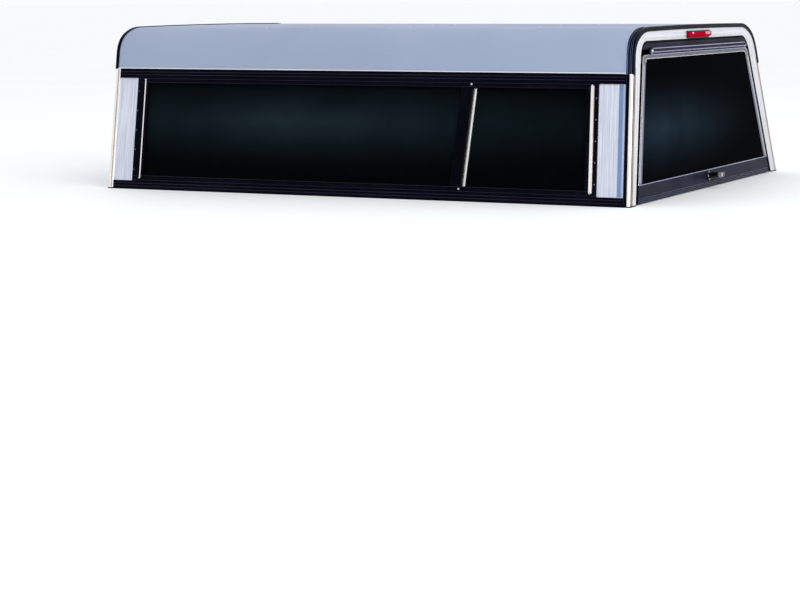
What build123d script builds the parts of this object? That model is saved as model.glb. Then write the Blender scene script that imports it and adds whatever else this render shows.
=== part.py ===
from build123d import *
import os
from math import atan, cos, degrees, radians, sin, tan

# Pickup truck canopy. Millimetres, +X to the right side, +Y forward, +Z up.
# Origin at the centre of the base footprint, on the underside of the base rails.

# Overall shape
base_length = 2058.0        # rear face to front face, at the base
base_half_width = 865.0     # centre line to the side wall's outer plane, at the base
side_lean = 0.318           # how far the side walls lean in, per unit of height
end_rake = 0.097            # how far both ends lean forward, per unit of height
shoulder_height = 497.0     # where the flat side turns into the roof corner
shoulder_radius = 112.0     # lower, tight part of the roof corner
shoulder_slope = 27.0       # degrees, slope where the corner's two arcs meet
crown_edge_radius = 255.0   # upper, easy part of the roof corner
crown_rise = 3.0            # height of the crown at the middle of the roof

# Sheet and rails
skin = 3.0
seat_gap = 0.3              # room between curved faces that seat on each other
overlap = 1.0               # how far joins and cuts run past the face that they meet
edge_depth = 20.0           # how deep rails and corner posts reach in from the side plane
base_rail_height = 30.0
base_rail_proud = 4.0
base_groove_places = (0.35, 0.7)           # of the rail's height
rail_wall = 3.5
foot_width = 60.0
foot_thickness = 4.0
clamp_hole_radius = 4.5
clamp_hole_inset = 42.0     # from the side plane at the base
clamp_hole_spacing = 1500.0
rail_below_shoulder = 59.0
upper_rail_height = 33.0
upper_rail_proud = 5.0
rail_groove_depth = 1.5
rail_groove_width = 3.0
skin_fin = 15.0             # fin of the upper rail that backs the skin's lower edge
fin_room = 6.0              # from the fin's top to the inner step of the end frames
trim_cap = 12.0             # how far the roof trims reach in over the ends of the skin
rear_trim_lip = 26.0        # how far they reach along the skin
front_trim_lip = 9.0
rear_trim_grooves = (7.0, 13.0, 19.0)

# Corner posts
front_post_width = 22.0
front_beads = ((5.5, 5.3), (16.5, 5.3))    # place from the corner and radius of each round bead
rear_post_width = 26.0
rear_bead_place = 7.0
rear_bead_radius = 7.0
bead_sink = 2.0             # how deep the beads' middles lie behind the side plane

# Side windows
frame_front = 103.0         # window frame, back from the front face
frame_rear = 121.0          # window frame, forward from the rear face
front_stile = 46.0
rear_stile = 42.0
frame_sill = 20.0
frame_head = 19.0
frame_proud = 5.0
mullion_front = -362.0
mullion_rear = -405.0
mullion_groove_count = 3
frame_groove_depth = 1.4
frame_groove_width = 2.6
glass = 4.0
glass_ledge = 6.0           # depth of the frame's outer lip behind the side plane
slider_ledge = 11.0
rebate = 8.0
glass_clearance = 0.5
sash_width = 11.0           # bright strip on the leading edge of the sliding glass

# Rear opening
rear_frame_depth = 22.0
jamb_foot_width = 71.0      # side plane to the doorway, at the base
door_way_lean = 0.350
door_way_below_roof = 54.6
door_way_corner = 80.0
jamb_slope_width = 18.0     # sloped inner edge of the jambs and the header
jamb_slope_depth = 8.0
jamb_groove_place = 30.0
jamb_groove_width = 2.6
jamb_groove_depth = 1.2
stop_lap = 42.0             # how far the stop flange reaches in from the doorway
stop_thickness = 4.0
stop_under_door = 16.0      # how far it reaches below the door's top edge
seal_inset = 28.0
seal_width = 12.0
seal_thickness = 3.2

# Rear door
door_gap = 17.0
door_below_doorway = 41.0
door_bottom = 4.0
door_recess = 4.0           # the door's outer face behind the rear plane
door_depth = 18.0           # its inner face behind the rear plane
door_corner = 25.0
door_stile = 31.0
door_glass_lean = 0.346
door_head = 12.0
door_rail_top = 65.0
door_glass_corner = 18.0
door_glass_ledge = 2.0      # from the door's outer face to the glass
door_groove_levels = (8.0, 14.0, 20.0)
door_groove_width = 2.4
door_groove_depth = 1.6
edge_seal = 2.5
wiper_inset = 30.0
wiper_height = 12.0
wiper_thickness = 3.0

# Hinge
band_height = 21.0          # of the header's leaf, which fills the top of the doorway
band_recess = 3.0
leaf_thickness = 2.6
hinge_inset = 55.0          # from the door's upper corners to the ends of the hinge
hinge_over_door = 14.0
hinge_proud = 8.0
hinge_pin_radius = 3.6
hinge_pin_play = 0.5
hinge_bead_radius = 6.3
hinge_web = 2.4
hinge_shelf_room = 2.0
hinge_flange = 14.0
hinge_slot_inner = 24.0     # degrees, the bead's slot on the inner side of straight up
hinge_slot_outer = 20.0     # degrees, and on the outer side below level

# Brake lamp
lamp_half_width = 130.0
lamp_over_doorway = 9.0
lamp_height = 26.0
lamp_corner_cut = 12.0
lamp_edge = 2.5
lamp_base = 4.0
lamp_proud = 12.0
lamp_round = 2.5

# Handle
handle_height = 44.0
handle_plate_radius = 19.0
handle_plate = 5.0
handle_plate_round = 2.0
spindle_radius = 6.0
spindle_play = 1.0
barrel_radius = 11.0
barrel_gap = 1.0
grip_half_length = 41.0
grip_width = 20.0
grip_standoff = 35.0
grip_thickness = 13.0
grip_round = 4.0
cylinder_radius = 7.0
cylinder_proud = 1.5
cam_width = 16.0
cam_length = 38.0
cam_thickness = 4.0
cam_room = 6.0              # between the cam and the wiper

# Front wall
front_sheet = 4.0
front_glass_margin = 265.0  # side plane to the front window's opening, at the base
front_window_lean = 0.2
front_window_low = 95.0
front_window_below_shoulder = 57.0
front_window_corner = 60.0
front_frame_width = 34.0
front_frame_proud = 8.0
front_rail_depth = 45.0

# Roof bows
bow_count = 3
bow_width = 34.0
bow_depth = 16.0
bow_foot_below_shoulder = 35.0

# Worked out
side_angle = atan(side_lean)
side_cos, side_sin = cos(side_angle), sin(side_angle)
rear_y, front_y = -base_length / 2, base_length / 2
corner_middle = shoulder_height - shoulder_radius * side_sin
crown_middle = corner_middle - (crown_edge_radius - shoulder_radius) * cos(radians(shoulder_slope))
roof_top = crown_middle + crown_edge_radius + crown_rise
upper_rail_high = shoulder_height - rail_below_shoulder
upper_rail_low = upper_rail_high - upper_rail_height
front_window_high = shoulder_height - front_window_below_shoulder
bow_foot = shoulder_height - bow_foot_below_shoulder
door_way_top = roof_top - door_way_below_roof
door_top = door_way_top - door_below_doorway
door_glass_top = door_top - door_head
band_low = door_way_top - band_height
hinge_height = door_top + hinge_over_door
lamp_low = door_way_top + lamp_over_doorway
lamp_high = lamp_low + lamp_height
door_way_half = base_half_width - jamb_foot_width
door_half = door_way_half - door_gap / cos(atan(door_way_lean))
door_glass_half = door_half - door_stile
front_glass_half = base_half_width - front_glass_margin
hinge_length = 2 * (door_half - door_way_lean * door_top - hinge_inset)
door_face = rear_y + door_recess
glass_face = door_face + door_glass_ledge
cam_depth = door_depth + wiper_thickness + cam_room
far = 1.2 * base_length     # longer than any piece, for cuts and trims


def side_point(depth, height):
    """A point of the right wall's section: depth inward from the side plane, at a height on it."""
    rise = height / side_cos
    return (base_half_width - rise * side_sin - depth * side_cos, rise * side_cos - depth * side_sin)


def raked(rear, front, rear_rake=end_rake, front_rake=end_rake):
    """A block across the part between two end planes that lean forward."""
    low, high = -far / 4, far / 2
    outline = [(rear + rear_rake * low, low), (front + front_rake * low, low),
               (front + front_rake * high, high), (rear + rear_rake * high, high)]
    side = Plane.YZ.offset(-far) * Polygon(*outline, align=None)
    return extrude(side, 2 * far)


def along(section, rear, front, rear_rake=end_rake, front_rake=end_rake):
    """Runs an XZ section along Y and trims it between two end planes."""
    run = extrude(Plane.XZ.offset(-far) * section, 2 * far)
    return run & raked(rear, front, rear_rake, front_rake)


def side_strip(depth_out, depth_in, low, high):
    """Section of a flat piece in the right wall."""
    return Polygon(side_point(depth_out, low), side_point(depth_out, high),
                   side_point(depth_in, high), side_point(depth_in, low), align=None)


def arc_points(centre, radius, start, end):
    """Start, middle and end of a roof arc, by slope in degrees."""
    points = []
    for slope in (start, (start + end) / 2, end):
        points.append((centre[0] + radius * sin(radians(slope)), centre[1] + radius * cos(radians(slope))))
    return points


def shell_section(inset, floor):
    """Outline of the canopy's cross section, set in by a distance and closed at a floor height."""
    plane_slope = 90.0 - degrees(side_angle)
    crown_half = base_half_width - shoulder_height * side_lean
    corner = (crown_half - shoulder_radius * side_cos, corner_middle)
    meet = radians(shoulder_slope)
    shift = crown_edge_radius - shoulder_radius
    crown = (corner[0] - shift * sin(meet), crown_middle)
    lower = arc_points(corner, shoulder_radius - inset, plane_slope, shoulder_slope)
    upper = arc_points(crown, crown_edge_radius - inset, shoulder_slope, 0.0)
    top = (0.0, upper[2][1] + crown_rise)
    foot = (base_half_width - floor * side_lean - inset / side_cos, floor)
    left = lambda point: (-point[0], point[1])
    edges = Curve() + [
        Line(left(foot), foot),
        Line(foot, lower[0]),
        ThreePointArc(*lower),
        ThreePointArc(*upper),
        ThreePointArc(upper[2], top, left(upper[2])),
        ThreePointArc(*[left(point) for point in reversed(upper)]),
        ThreePointArc(*[left(point) for point in reversed(lower)]),
        Line(left(lower[0]), left(foot)),
    ]
    return make_face(edges)


def trapezoid(half_width, lean, low, high, corner):
    """An upright opening outline with leaning sides and rounded top corners."""
    outline = Polygon((-half_width + lean * low, low), (half_width - lean * low, low),
                      (half_width - lean * high, high), (-half_width + lean * high, high), align=None)
    if corner == 0.0:
        return outline
    return fillet(outline.vertices().sort_by(Axis.Y)[-2:], corner)


def above(level):
    """The half plane over a level, for cutting an upright outline."""
    return Pos(0.0, level + far) * Rectangle(2 * far, 2 * far)


def band(level, width):
    """A level strip right across the part."""
    return Pos(0.0, level) * Rectangle(2 * far, width)


def left_of(piece):
    """The left side's piece, from the right side's."""
    return mirror(piece, about=Plane.YZ)


def post_strip(depth_out, depth_in):
    """Section of a piece that stands on the base rail's foot and ends at the skin."""
    return side_strip(depth_out, depth_in, 0.0, upper_rail_high) & above(foot_thickness)


def base_rail():
    """Open channel that sits on the truck bed's wall, with a foot for the clamps."""
    top_out = side_point(-base_rail_proud, base_rail_height)
    top_in = side_point(edge_depth, base_rail_height)
    under_in = side_point(edge_depth, base_rail_height - rail_wall)
    under_out = side_point(-base_rail_proud + rail_wall, base_rail_height - rail_wall)
    outer = base_half_width + base_rail_proud / side_cos
    web = outer - rail_wall / side_cos - foot_thickness * side_lean
    section = Polygon((outer, 0.0), top_out, top_in, under_in, under_out, (web, foot_thickness),
                      (base_half_width - foot_width, foot_thickness), (base_half_width - foot_width, 0.0),
                      align=None)
    rail = along(section, rear_y, front_y)
    for place in (-clamp_hole_spacing / 2, clamp_hole_spacing / 2):
        hole = Cylinder(clamp_hole_radius, 4 * foot_thickness)
        rail -= Pos(base_half_width - clamp_hole_inset, place, 0.0) * hole
    for share in base_groove_places:
        level = base_rail_height * share
        groove = side_strip(-2 * base_rail_proud, -base_rail_proud + rail_groove_depth,
                            level - rail_groove_width / 2, level + rail_groove_width / 2)
        rail -= along(groove, rear_y - overlap, front_y + overlap)
    room = post_strip(-edge_depth, edge_depth)
    rail -= along(room, rear_y - edge_depth, rear_y + rear_post_width)
    return rail - along(room, front_y - front_post_width, front_y + edge_depth)


def upper_rail():
    """Hollow rail over the windows, with a fin that backs the skin's lower edge."""
    section = side_strip(-upper_rail_proud, edge_depth, upper_rail_low, upper_rail_high)
    section += side_strip(skin + seat_gap, skin + seat_gap + rail_wall, upper_rail_high - overlap,
                          upper_rail_high + skin_fin)
    section -= side_strip(-upper_rail_proud + rail_wall, edge_depth - rail_wall,
                          upper_rail_low + rail_wall, upper_rail_high - rail_wall)
    rail = along(section, rear_y + rear_post_width, front_y - front_post_width)
    step = (upper_rail_high - upper_rail_low) / 3
    for level in (upper_rail_low + step, upper_rail_high - step):
        groove = side_strip(-2 * upper_rail_proud, -upper_rail_proud + rail_groove_depth,
                            level - rail_groove_width / 2, level + rail_groove_width / 2)
        rail -= along(groove, rear_y - overlap, front_y + overlap)
    return rail


def bead(place, radius):
    """A long round bar up the right side's slope, leaning with the ends."""
    foot = (base_half_width - bead_sink / side_cos, place, 0.0)
    return Plane(origin=foot, z_dir=(-side_lean, end_rake, 1.0)) * Cylinder(radius, far)


def front_post():
    """Corner extrusion at the cab end: a flat leg with two round beads."""
    rear = front_y - front_post_width
    post = along(post_strip(0.0, edge_depth), rear, front_y)
    for place, radius in front_beads:
        post += bead(front_y - place, radius) & along(post_strip(-edge_depth, edge_depth), rear, front_y)
    return post


def rear_bead():
    """Bright round bead on the rear corner."""
    room = along(post_strip(-edge_depth, edge_depth), rear_y, rear_y + rear_post_width)
    return bead(rear_y + rear_bead_place, rear_bead_radius) & room


def rear_post():
    """Flat channel at the rear corner, which holds the bead."""
    post = along(post_strip(0.0, edge_depth), rear_y, rear_y + rear_post_width)
    return post - bead(rear_y + rear_bead_place, rear_bead_radius + seat_gap)


def infill(rear, front):
    """Flat sheet between a corner post and the window frame."""
    return along(side_strip(0.0, skin, base_rail_height, upper_rail_low), rear, front)


def window_opening(depth_out, depth_in, grow):
    """The two holes of the side window frame, grown by a rebate."""
    low = base_rail_height + frame_sill - grow
    high = upper_rail_low - frame_head + grow
    strip = side_strip(depth_out, depth_in, low, high)
    fixed = along(strip, mullion_front - grow, front_y - frame_front - front_stile + grow, 0.0, end_rake)
    sliding = along(strip, rear_y + frame_rear + rear_stile - grow, mullion_rear + grow, end_rake, 0.0)
    return fixed, sliding


def window_frame():
    """Black frame of one side, with an upright mullion and a rebate behind its lip."""
    frame = along(side_strip(-frame_proud, edge_depth, base_rail_height, upper_rail_low),
                  rear_y + frame_rear, front_y - frame_front)
    for hole in window_opening(-frame_proud - overlap, edge_depth + overlap, 0.0):
        frame -= hole
    frame -= window_opening(glass_ledge, edge_depth + overlap, rebate)[0]
    frame -= window_opening(slider_ledge, edge_depth + overlap, rebate)[1]
    groove = side_strip(-2 * frame_proud, -frame_proud + frame_groove_depth, base_rail_height + frame_sill,
                        upper_rail_low - frame_head)
    step = (mullion_front - mullion_rear) / (mullion_groove_count + 1)
    for number in range(mullion_groove_count):
        place = mullion_rear + step * (number + 1)
        frame -= along(groove, place - frame_groove_width / 2, place + frame_groove_width / 2, 0.0, 0.0)
    return frame


def fixed_glass():
    return window_opening(glass_ledge, glass_ledge + glass, rebate - glass_clearance)[0]


def sliding_glass():
    return window_opening(slider_ledge, slider_ledge + glass, rebate - glass_clearance)[1]


def sash_strip():
    """Bright strip on the outer face of the sliding glass, beside the mullion."""
    low, high = base_rail_height + frame_sill + glass_clearance, upper_rail_low - frame_head - glass_clearance
    strip = side_strip(glass_ledge, slider_ledge, low, high)
    return along(strip, mullion_rear - sash_width, mullion_rear - glass_clearance, 0.0, 0.0)


def roof_skin():
    """One bent sheet: the roof and the strips above the windows."""
    floor = upper_rail_high - edge_depth
    sheet = shell_section(0.0, floor) - shell_section(skin, floor - edge_depth)
    return along(over_rails(sheet), rear_y, front_y)


def roof_bows():
    """Ribs under the roof sheet."""
    outer = skin + seat_gap
    bow = shell_section(outer, bow_foot) - shell_section(outer + bow_depth, bow_foot - bow_depth)
    bows = []
    for number in range(bow_count):
        middle = rear_y + base_length * (number + 1) / (bow_count + 1)
        bows.append(along(bow, middle - bow_width / 2, middle + bow_width / 2))
    return Compound(children=bows)


def roof_trim(front_end):
    """Angle trim over one end of the roof: a grooved lip on the skin and a cap over its edge."""
    floor = upper_rail_high - edge_depth
    under = floor - edge_depth
    lip = over_rails(shell_section(-skin, floor) - shell_section(-seat_gap, under))
    cap = over_rails(shell_section(-skin, floor) - shell_section(trim_cap, under))
    cut = shell_section(-2 * skin, under) - shell_section(-skin + rail_groove_depth, under - edge_depth)
    if front_end:
        return along(lip, front_y - front_trim_lip, front_y + skin) + along(cap, front_y, front_y + skin)
    trim = along(lip, rear_y - skin, rear_y + rear_trim_lip) + along(cap, rear_y - skin, rear_y)
    for place in rear_trim_grooves:
        middle = rear_y + place
        trim -= along(cut, middle - rail_groove_width / 2, middle + rail_groove_width / 2)
    return trim


def wall_x(depth, level):
    """Half width at a level, at a depth inward from the side plane."""
    return base_half_width - level * side_lean - depth / side_cos


def end_outline():
    """Outline that fits inside the skin, the upper rails and the corner posts."""
    step = upper_rail_high + skin_fin + fin_room
    foot, waist = wall_x(edge_depth, foot_thickness), wall_x(edge_depth, step)
    lower = Polygon((-foot, foot_thickness), (foot, foot_thickness), (waist, step), (-waist, step),
                    align=None)
    return shell_section(skin + seat_gap, step) + lower


def over_rails(section):
    """Trims a section of the roof along the tops of the upper rails."""
    below = side_strip(-far / 10, far / 10, 0.0, upper_rail_high)
    return section - below - mirror(below, about=Plane.YZ)


def door_way(inset, low, top, corner):
    """Outline with the doorway's leaning sides, set in from them."""
    half_width = door_way_half - inset / cos(atan(door_way_lean))
    return trapezoid(half_width, door_way_lean, low, top, corner)


def rear_frame():
    """Jambs and header round the rear doorway, with a stop flange behind the door."""
    outline = end_outline()
    frame = along(outline - door_way(0.0, -edge_depth, door_way_top, door_way_corner), rear_y,
                  rear_y + rear_frame_depth)
    face = min(frame.faces(), key=lambda side: side.normal_at().Y)
    edges = []
    for edge in face.edges():
        middle = edge @ 0.5
        inside = abs(middle.X) < door_way_half - door_way_lean * middle.Z + overlap
        if inside and foot_thickness + overlap < middle.Z < door_way_top + overlap:
            edges.append(edge)
    frame = chamfer(edges, jamb_slope_width, jamb_slope_depth, reference=face)
    outer = door_way(-jamb_groove_place - jamb_groove_width, -edge_depth,
                     door_way_top + jamb_groove_place + jamb_groove_width,
                     door_way_corner + jamb_groove_place + jamb_groove_width)
    inner = door_way(-jamb_groove_place, -2 * edge_depth, door_way_top + jamb_groove_place,
                     door_way_corner + jamb_groove_place)
    frame -= along(outer - inner, rear_y - edge_depth, rear_y + jamb_groove_depth)
    stop = door_way(stop_lap, -edge_depth, door_top - stop_under_door, door_glass_corner)
    frame += along(outline - stop, rear_y + rear_frame_depth, rear_y + rear_frame_depth + stop_thickness)
    return frame


def rear_seal():
    """Rubber seal on the stop flange."""
    top = door_top - glass_clearance
    ring = door_way(seal_inset, base_rail_height, top, door_corner)
    ring -= door_way(seal_inset + seal_width, base_rail_height - seal_width, top - seal_width,
                     door_corner - seal_width)
    return along(ring, rear_y + rear_frame_depth - seal_thickness, rear_y + rear_frame_depth)


def glass_outline(grow):
    """Outline of the door's glass opening, grown outward."""
    return trapezoid(door_glass_half + grow, door_glass_lean, door_rail_top - grow, door_glass_top + grow,
                     door_glass_corner + grow)


def door_frame():
    """Stiles and top rail of the rear door."""
    outline = door_way(door_gap, door_rail_top, door_top, door_corner)
    frame = along(outline - glass_outline(0.0), door_face, rear_y + door_depth)
    return frame - along(glass_outline(rebate), glass_face, rear_y + door_depth + overlap)


def door_glass():
    outline = glass_outline(rebate - glass_clearance) & above(door_rail_top)
    return along(outline, glass_face, glass_face + glass)


def door_bottom_rail():
    """Grooved bottom rail of the rear door, bored for the handle's spindle."""
    outline = door_way(door_gap, door_bottom, door_rail_top, 0.0)
    rail = along(outline, door_face, rear_y + door_depth)
    for level in door_groove_levels:
        rail -= along(band(level, door_groove_width), door_face - overlap, door_face + door_groove_depth)
    return rail - on_door(Cylinder(spindle_radius + spindle_play, far / 10))


def hinge_place():
    """Centre of the hinge pin, in Y and Z."""
    return rear_y - hinge_proud + end_rake * hinge_height, hinge_height


def end_face(height):
    """Where the rear plane stands at a height."""
    return rear_y + end_rake * height


def across(points):
    """Runs a YZ outline over the hinge's length."""
    return extrude(Plane.YZ.offset(-hinge_length / 2) * Polygon(*points, align=None), hinge_length)


def round_bar(radius, length):
    y, z = hinge_place()
    return Pos(0.0, y, z) * Rot(0, 90, 0) * Cylinder(radius, length)


def header_hinge_leaf():
    """Leaf that fills the top of the doorway, with the shelf, web and pin that the door hangs on."""
    y, z = hinge_place()
    low = door_way(seat_gap, 0.0, door_way_top - seat_gap, door_way_corner - seat_gap) & above(band_low)
    leaf = along(low, rear_y + band_recess, rear_y + rear_frame_depth)
    inner = seat_gap + leaf_thickness
    pocket = door_way(inner, 0.0, door_way_top - inner, door_way_corner - inner)
    pocket = pocket & above(band_low + leaf_thickness)
    leaf -= along(pocket, rear_y + band_recess + leaf_thickness, rear_y + rear_frame_depth + leaf_thickness)
    shelf = z + hinge_bead_radius + hinge_shelf_room
    top = shelf + leaf_thickness
    into = band_recess + leaf_thickness / 2
    leaf += across([(y - hinge_web / 2, shelf), (end_face(shelf) + into, shelf), (end_face(top) + into, top),
                    (y - hinge_web / 2, top)])
    leaf += across([(y - hinge_web / 2, z), (y + hinge_web / 2, z), (y + hinge_web / 2, top),
                    (y - hinge_web / 2, top)])
    return leaf + round_bar(hinge_pin_radius, hinge_length)


def door_hinge_leaf():
    """Leaf on the door: a bead that wraps the pin, and a flange over the door's top edge."""
    y, z = hinge_place()
    leaf = round_bar(hinge_bead_radius, hinge_length)
    flange_top = door_top + leaf_thickness
    leaf += across([(y - hinge_web / 2, door_top), (end_face(door_top) + hinge_flange, door_top),
                    (end_face(door_top) + hinge_flange, flange_top), (y - hinge_web / 2, flange_top)])
    leaf += across([(y - hinge_web / 2, door_top), (y + hinge_web / 2, door_top), (y + hinge_web / 2, z),
                    (y - hinge_web / 2, z)])
    leaf -= round_bar(hinge_pin_radius + hinge_pin_play, 2 * hinge_length)
    reach = 2 * hinge_bead_radius
    slot = extrude(Plane.YZ.offset(-hinge_length) * Polygon(
        (y, z), (y + reach * tan(radians(hinge_slot_inner)), z + reach), (y - reach, z + reach),
        (y - reach, z - reach * tan(radians(hinge_slot_outer))), align=None), 2 * hinge_length)
    return leaf - slot


def lamp_outline(edge):
    """The lamp's outline with its lower right corner cut, set in by an edge."""
    half, low, high = lamp_half_width - edge, lamp_low + edge, lamp_high - edge
    cut = lamp_corner_cut
    outline = Polygon((-half, low), (half - 2 * cut, low), (half, low + cut / 2), (half, high), (-half, high),
                      align=None)
    return fillet(outline.vertices(), lamp_round)


def brake_lamp_housing():
    return along(lamp_outline(0.0), rear_y - lamp_base, rear_y)


def brake_lamp_lens():
    lens = along(lamp_outline(lamp_edge), rear_y - lamp_proud, rear_y - lamp_base)
    return fillet(lens.faces().sort_by(Axis.Y)[0].edges(), lamp_round)


def on_door(piece):
    """Places a piece that is modelled round Z on the door's outer face, at the handle."""
    spot = Plane(origin=(0.0, end_face(handle_height), handle_height), x_dir=(1, 0, 0),
                 z_dir=(0, -1, end_rake))
    return spot * piece


def rod(radius, low, high):
    """A round bar between two distances from the door's plane."""
    return Pos(0, 0, (low + high) / 2) * Cylinder(radius, high - low)


def handle_base():
    """Round plate on the door's rail, bored for the spindle."""
    low = seat_gap - door_recess
    plate = rod(handle_plate_radius, low, low + handle_plate)
    plate = fillet(plate.edges().sort_by(Axis.Z)[-1], handle_plate_round)
    return on_door(plate - rod(spindle_radius + spindle_play, low - overlap, low + handle_plate + overlap))


def handle_lever():
    """T-shaped grip on its barrel, the spindle through the rail, and the cam behind it."""
    top = grip_standoff + grip_thickness
    outline = SlotOverall(2 * grip_half_length, grip_width)
    grip = extrude(Plane.XY.offset(grip_standoff) * outline, grip_thickness)
    grip = fillet(grip.faces().sort_by(Axis.Z)[-1].edges(), grip_round)
    barrel_foot = seat_gap - door_recess + handle_plate + barrel_gap
    lever = grip + rod(barrel_radius, barrel_foot, grip_standoff + overlap)
    lever += rod(spindle_radius, -cam_depth - cam_thickness, grip_standoff + overlap)
    cam = Box(cam_width, cam_length, cam_thickness)
    lever += Pos(0, -cam_length / 2, -cam_depth - cam_thickness / 2) * cam
    return on_door(lever - rod(cylinder_radius, grip_standoff + grip_round, 2 * top))


def lock_cylinder():
    """Key barrel in the grip, with its key slot."""
    top = grip_standoff + grip_thickness + cylinder_proud
    barrel = rod(cylinder_radius - seat_gap, grip_standoff + grip_round, top)
    slot = Pos(0, 0, top) * Box(cylinder_radius, cylinder_proud, 2 * cylinder_proud)
    return on_door(barrel - slot)


def front_base_rail():
    """Channel across the cab end, between the side rails' feet."""
    half = base_half_width - foot_width - seat_gap
    foot = Pos(0.0, foot_thickness / 2) * Rectangle(2 * half, foot_thickness)
    web = Pos(0.0, base_rail_height / 2) * Rectangle(2 * half, base_rail_height)
    rail = along(foot, front_y - front_rail_depth, front_y)
    return rail + along(web, front_y - foot_thickness, front_y)


def front_wall():
    """Sheet across the cab end, with the window cut through."""
    outline = (end_outline() & above(base_rail_height)) - front_ring(front_frame_width)
    return along(outline, front_y - front_sheet, front_y)


def front_ring(grow):
    """Outline of the front window's opening, grown outward."""
    return trapezoid(front_glass_half + grow, front_window_lean, front_window_low - grow,
                     front_window_high + grow, front_window_corner + grow)


def front_window_frame():
    """Frame that fills the cab end's opening, with a rebate for the glass."""
    ring = front_ring(front_frame_width) - front_ring(0.0)
    frame = along(ring, front_y - edge_depth, front_y + front_frame_proud)
    frame -= along(front_ring(rebate), front_y - 2 * edge_depth, front_y - glass_ledge)
    return frame


def front_window_glass():
    return along(front_ring(rebate - glass_clearance), front_y - glass_ledge - glass, front_y - glass_ledge)


def door_edge_seal():
    """Rubber strip round the door's edge, behind the hinge's flange along the top."""
    ring = door_way(door_gap - edge_seal, door_bottom, door_top + edge_seal, door_corner + edge_seal)
    ring -= door_way(door_gap, 0.0, door_top, door_corner)
    sides = ring - above(door_top - door_corner)
    strip = along(ring, rear_y + hinge_flange + seat_gap, rear_y + door_depth)
    return strip + along(sides, door_face, rear_y + door_depth)


def door_wiper():
    """Rubber strip on the inner side of the door's bottom rail."""
    strip = door_way(door_gap + wiper_inset, door_bottom, door_bottom + wiper_height, 0.0)
    return along(strip, rear_y + door_depth, rear_y + door_depth + wiper_thickness)


os.makedirs("parts", exist_ok=True)
right_pieces = {
    "base_rail": base_rail(),
    "upper_rail": upper_rail(),
    "front_post": front_post(),
    "rear_post": rear_post(),
    "rear_bead": rear_bead(),
    "front_infill": infill(front_y - frame_front, front_y - front_post_width),
    "rear_infill": infill(rear_y + rear_post_width, rear_y + frame_rear),
    "window_frame": window_frame(),
    "fixed_glass": fixed_glass(),
    "sliding_glass": sliding_glass(),
    "sash_strip": sash_strip(),
}
pieces = {
    "roof_skin": roof_skin(),
    "roof_bows": roof_bows(),
    "front_roof_trim": roof_trim(True),
    "rear_roof_trim": roof_trim(False),
    "front_base_rail": front_base_rail(),
    "front_wall": front_wall(),
    "front_window_frame": front_window_frame(),
    "front_window_glass": front_window_glass(),
    "rear_frame": rear_frame(),
    "rear_seal": rear_seal(),
    "header_hinge_leaf": header_hinge_leaf(),
    "brake_lamp_housing": brake_lamp_housing(),
    "brake_lamp_lens": brake_lamp_lens(),
    "door_frame": door_frame(),
    "door_bottom_rail": door_bottom_rail(),
    "door_glass": door_glass(),
    "door_hinge_leaf": door_hinge_leaf(),
    "door_edge_seal": door_edge_seal(),
    "door_wiper": door_wiper(),
    "handle_base": handle_base(),
    "handle_lever": handle_lever(),
    "lock_cylinder": lock_cylinder(),
}
for name, piece in right_pieces.items():
    pieces["right_" + name] = piece
    pieces["left_" + name] = left_of(piece)
for name, piece in pieces.items():
    export_step(piece, "parts/" + name + ".step")
print(len(pieces), "pieces written")
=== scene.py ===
import bmesh
import bpy
from math import atan, cos, degrees, radians, sin
from mathutils import Euler, Matrix, Vector


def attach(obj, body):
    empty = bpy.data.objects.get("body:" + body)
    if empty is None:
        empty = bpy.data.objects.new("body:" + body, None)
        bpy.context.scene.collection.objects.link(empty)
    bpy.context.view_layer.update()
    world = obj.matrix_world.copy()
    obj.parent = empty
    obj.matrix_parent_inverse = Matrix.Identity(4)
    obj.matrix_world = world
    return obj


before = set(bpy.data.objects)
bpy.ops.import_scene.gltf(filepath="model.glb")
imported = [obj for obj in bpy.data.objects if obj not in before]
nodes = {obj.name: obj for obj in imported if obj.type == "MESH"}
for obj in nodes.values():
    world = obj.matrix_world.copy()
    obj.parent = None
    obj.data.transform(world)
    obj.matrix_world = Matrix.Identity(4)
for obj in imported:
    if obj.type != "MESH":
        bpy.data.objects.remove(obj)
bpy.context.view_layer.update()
bpy.ops.object.select_all(action="DESELECT")
print("frame loaded:", len(nodes), "nodes")


# camera at the photo's place: metres, degrees and millimetres
viewSetup = {"place": (-7.8522, -3.5407, 0.7018), "yaw": 64.287, "pitch": -7.771, "roll": -0.292,
             "lens": 100.02, "sensor": 36.0, "far": 600.0}


def addCamera(setup):
    bpy.ops.object.camera_add()
    camera = bpy.context.object
    camera.name = "photoCamera"
    turn = Euler((radians(90 + setup["pitch"]), 0, -radians(setup["yaw"]))).to_matrix()
    turn = turn @ Matrix.Rotation(radians(setup["roll"]), 3, "Z")
    camera.matrix_world = Matrix.Translation(setup["place"]) @ turn.to_4x4()
    camera.data.sensor_width = setup["sensor"]
    camera.data.lens = setup["lens"]
    camera.data.clip_end = setup["far"]
    bpy.context.scene.camera = camera


addCamera(viewSetup)


# soft studio: three big panels under a pale, even sky
studio = {"sky": (0.93, 0.955, 1.0), "skyStrength": 1.03, "floorSize": 400.0}
lamps = {
    "overhead": {"place": (0.0, 0.0, 6.0), "aim": (0.0, 0.0, 0.3), "size": (7.0, 7.0), "power": 30},
    "sideSoft": {"place": (-6.0, -6.5, 3.0), "aim": (-0.4, 0.0, 0.3), "size": (5.0, 3.0), "power": 190},
    "rearSoft": {"place": (2.5, -7.0, 2.6), "aim": (0.0, -0.8, 0.3), "size": (4.0, 2.6), "power": 60},
}


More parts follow.
